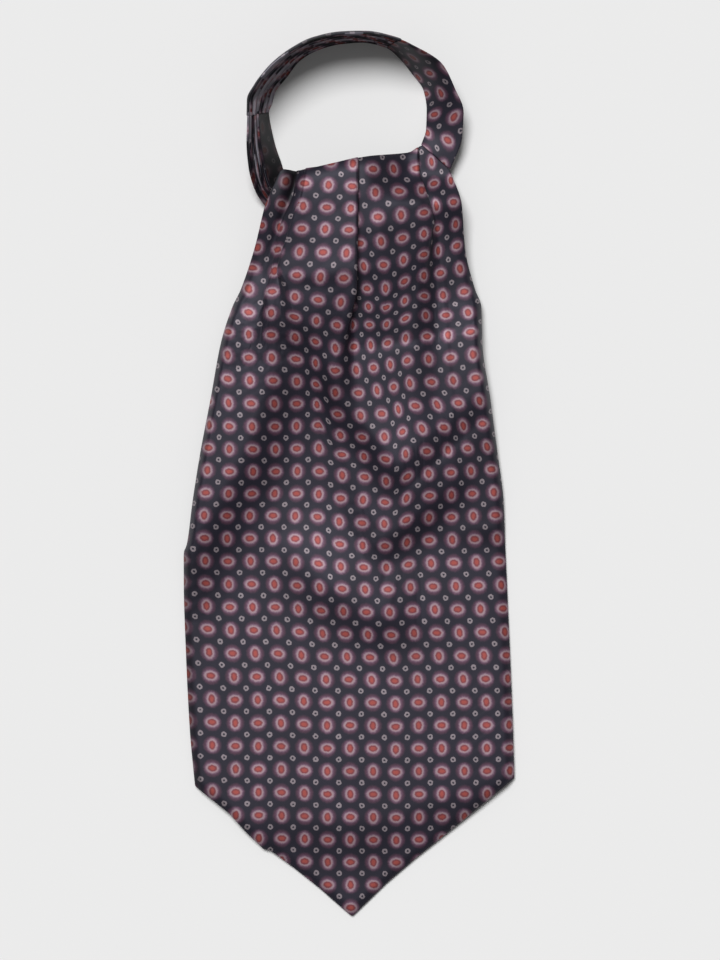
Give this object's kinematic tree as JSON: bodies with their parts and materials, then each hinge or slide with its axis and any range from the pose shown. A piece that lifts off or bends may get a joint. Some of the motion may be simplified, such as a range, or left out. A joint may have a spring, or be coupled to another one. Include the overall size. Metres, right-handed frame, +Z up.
{
  "type": "silk cravat",
  "caption": "Long silk day cravat in a small medallion print, folded in half and laid flat, with wide pointed blades and a narrow pleated neckband standing on edge in a loop.",
  "frame": {"origin": "Middle of the bounding box's bottom face, on the table that the folded cravat lies on.", "axes": "+Z up from the table. +Y from the blades' points to the neck loop, the longest way. +X to the right, seen from above with the loop away from the viewer."},
  "size_m": [0.1644, 0.4382, 0.0304],
  "materials": {
    "silk": "soft sheen"
  },
  "bodies": {
    "root": {"front_blade": "silk", "right_taper": "silk", "neckband": "silk", "left_taper": "silk", "under_blade": "silk"}
  },
  "joints": []
}
